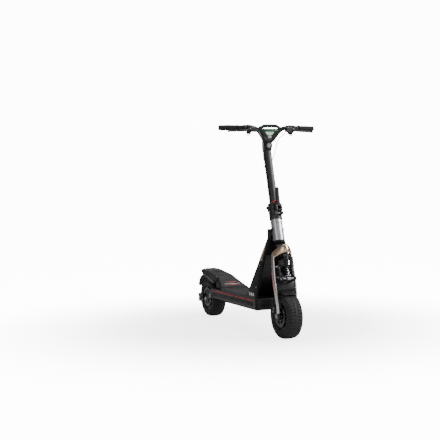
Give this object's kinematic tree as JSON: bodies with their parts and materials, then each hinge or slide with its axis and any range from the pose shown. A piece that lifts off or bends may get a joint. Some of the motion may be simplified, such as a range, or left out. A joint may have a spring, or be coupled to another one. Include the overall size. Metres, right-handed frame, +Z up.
{
  "type": "electric kick scooter",
  "caption": "Folding electric kick scooter with sprung fat-tyre wheels, wide deck, raised rear footrest, wishbone front end and a framed handlebar display.",
  "frame": {"origin": "on the ground, on the centre plane, midway between the front tyre and the mudguard tip", "axes": "+Z up, -Y forward, +X towards the rider's left"},
  "size_m": [0.6568, 1.485, 1.311],
  "materials": {
    "frame_black": "satin black powder coat",
    "case_black": "matt black moulded case",
    "deck_black": "matt black plate",
    "mat_rubber": "grooved black rubber",
    "red_light": "red light strip",
    "silver": "brushed silver",
    "bronze": "champagne bronze anodised",
    "graphite": "dark graphite metallic",
    "tail_grey": "dark grey semi gloss",
    "tyre": "black tread rubber",
    "motor_black": "black motor shell",
    "disc_steel": "ground steel",
    "bolt_steel": "bright steel",
    "spring_black": "black coil",
    "red_paint": "red anodised",
    "plastic_black": "matt black plastic",
    "grip_rubber": "soft ribbed rubber",
    "hose_rubber": "grey hose",
    "display_glass": "pale green glass",
    "lamp_glass": "clear lens",
    "cell_wrap": "wrapped cells",
    "controller_alloy": "cast alloy box",
    "bearing_steel": "bearing steel"
  },
  "bodies": {
    "frame": {"frame_rails": "frame_black", "head_tube": "silver", "headset_bearings": "bearing_steel", "battery_case": "case_black", "battery_pack": "cell_wrap", "motor_controller": "controller_alloy", "deck_plate": "deck_black", "deck_mat": "mat_rubber", "side_lights": "red_light", "rear_footrest": "case_black", "footrest_pad": "mat_rubber", "tail_handle": "tail_grey", "tail_light": "red_light", "rear_mudguard": "plastic_black", "frame_pins": "bolt_steel", "rear_shock_body": "frame_black", "rear_spring": "spring_black"},
    "kickstand": {"kickstand_leg": "frame_black"},
    "steering": {"steerer_tube": "frame_black", "steering_knuckle": "frame_black", "fold_collar": "graphite", "pivot_pins": "bolt_steel", "front_shock_body": "frame_black", "front_spring": "spring_black"},
    "latch": {"latch_lever": "graphite"},
    "upper_arm": {"upper_wishbone": "frame_black"},
    "lower_arm": {"lower_wishbone": "frame_black"},
    "front_damper_rod": {"front_shock_rod": "bolt_steel"},
    "fork": {"front_fork": "bronze", "fork_bolts": "bolt_steel", "front_axle": "bolt_steel", "front_fender": "plastic_black", "front_caliper": "graphite"},
    "front_wheel": {"front_tyre": "tyre", "front_hub_motor": "motor_black", "front_brake_disc": "disc_steel"},
    "stem": {"stem_tube": "graphite", "stem_head": "graphite", "handlebar": "graphite", "display_frame": "plastic_black", "display_glass": "display_glass", "headlight_lens": "lamp_glass", "grip_left": "grip_rubber", "switch_pods": "plastic_black", "master_cylinders": "graphite", "brake_hoses": "hose_rubber"},
    "catch": {"safety_catch": "red_paint"},
    "throttle": {"throttle_grip": "grip_rubber"},
    "lever_left": {"brake_lever_left": "frame_black"},
    "lever_right": {"brake_lever_right": "frame_black"},
    "mode_key": {"mode_button": "plastic_black"},
    "horn_key": {"horn_button": "red_light"},
    "turn_key": {"turn_switch": "plastic_black"},
    "rear_arm": {"swingarm": "frame_black", "rear_axle": "bolt_steel", "rear_caliper": "graphite"},
    "rear_damper_rod": {"rear_shock_rod": "bolt_steel"},
    "rear_wheel": {"rear_tyre": "tyre", "rear_hub_motor": "motor_black", "rear_brake_disc": "disc_steel"}
  },
  "joints": [
    {"name": "steering", "type": "hinge", "parent": "frame", "child": "steering", "pos_m": [0, -0.5093, 0.6], "axis": [0, 0.2588, 0.9659], "range_deg": [-35, 35]},
    {"name": "stem_fold", "type": "hinge", "parent": "steering", "child": "stem", "pos_m": [0, -0.40394, 0.79228], "axis": [-1, 0, 0], "range_deg": [0, 100]},
    {"name": "latch_lever_swing", "type": "hinge", "parent": "steering", "child": "latch", "pos_m": [0, -0.51722, 0.76363], "axis": [1, 0, 0], "range_deg": [0, 70]},
    {"name": "safety_catch_slide", "type": "slide", "parent": "stem", "child": "catch", "axis": [-1, 0, 0], "range_m": [0, 0.004]},
    {"name": "throttle_twist", "type": "hinge", "parent": "stem", "child": "throttle", "pos_m": [-0.117, -0.4034, 1.291], "axis": [-0.9798, 0.1999, 0], "range_deg": [0, 60]},
    {"name": "brake_lever_left_pull", "type": "hinge", "parent": "stem", "child": "lever_left", "pos_m": [0.14776, -0.43412, 1.2741], "axis": [0.0845, -0.4141, 0.9063], "range_deg": [0, 12]},
    {"name": "brake_lever_right_pull", "type": "hinge", "parent": "stem", "child": "lever_right", "pos_m": [-0.14776, -0.43412, 1.2741], "axis": [0.0845, 0.4141, -0.9063], "range_deg": [0, 12]},
    {"name": "mode_button_press", "type": "slide", "parent": "stem", "child": "mode_key", "axis": [0.1999, -0.9798, 0], "range_m": [0, 0.0015]},
    {"name": "horn_button_press", "type": "slide", "parent": "stem", "child": "horn_key", "axis": [0.1999, -0.9798, 0], "range_m": [0, 0.0015]},
    {"name": "turn_switch_press", "type": "slide", "parent": "stem", "child": "turn_key", "axis": [-0.1999, -0.9798, 0], "range_m": [0, 0.0015]},
    {"name": "kickstand_swing", "type": "hinge", "parent": "frame", "child": "kickstand", "pos_m": [0.13, -0.15, 0.151], "axis": [0.959, -0.0372, 0.2809], "range_deg": [0, 83]},
    {"name": "front_suspension", "type": "hinge", "parent": "steering", "child": "lower_arm", "pos_m": [0, -0.51612, 0.37365], "axis": [-1, 0, 0], "range_deg": [0, 27], "deforming": ["front_spring"]},
    {"name": "upper_wishbone_swing", "type": "hinge", "parent": "steering", "child": "upper_arm", "pos_m": [0, -0.49929, 0.43644], "axis": [-1, 0, 0], "range_deg": [0, 27]},
    {"name": "fork_level", "type": "hinge", "parent": "lower_arm", "child": "fork", "pos_m": [0, -0.60009, 0.37585], "axis": [-1, 0, 0], "range_deg": [-27, 0]},
    {"name": "front_damper_stroke", "type": "slide", "parent": "steering", "child": "front_damper_rod", "axis": [0, 0.2588, 0.9659], "range_m": [0, 0.03927]},
    {"name": "front_wheel_spin", "type": "hinge", "parent": "fork", "child": "front_wheel", "pos_m": [0, -0.6015, 0.141], "axis": [1, 0, 0], "continuous": true},
    {"name": "rear_suspension", "type": "hinge", "parent": "frame", "child": "rear_arm", "pos_m": [0, 0.33, 0.178], "axis": [1, 0, 0], "range_deg": [0, 6], "deforming": ["rear_spring"]},
    {"name": "rear_damper_stroke", "type": "slide", "parent": "frame", "child": "rear_damper_rod", "axis": [0, -1, 0], "range_m": [0, 0.00655]},
    {"name": "rear_wheel_spin", "type": "hinge", "parent": "rear_arm", "child": "rear_wheel", "pos_m": [0, 0.561, 0.141], "axis": [1, 0, 0], "continuous": true}
  ],
  "couplings": [
    {"joint": "upper_wishbone_swing", "follows": "front_suspension", "ratio": 1},
    {"joint": "fork_level", "follows": "front_suspension", "ratio": -1},
    {"joint": "front_damper_stroke", "follows": "front_suspension", "m_per_rad": 0.083225},
    {"joint": "rear_damper_stroke", "follows": "rear_suspension", "m_per_rad": 0.062096}
  ]
}
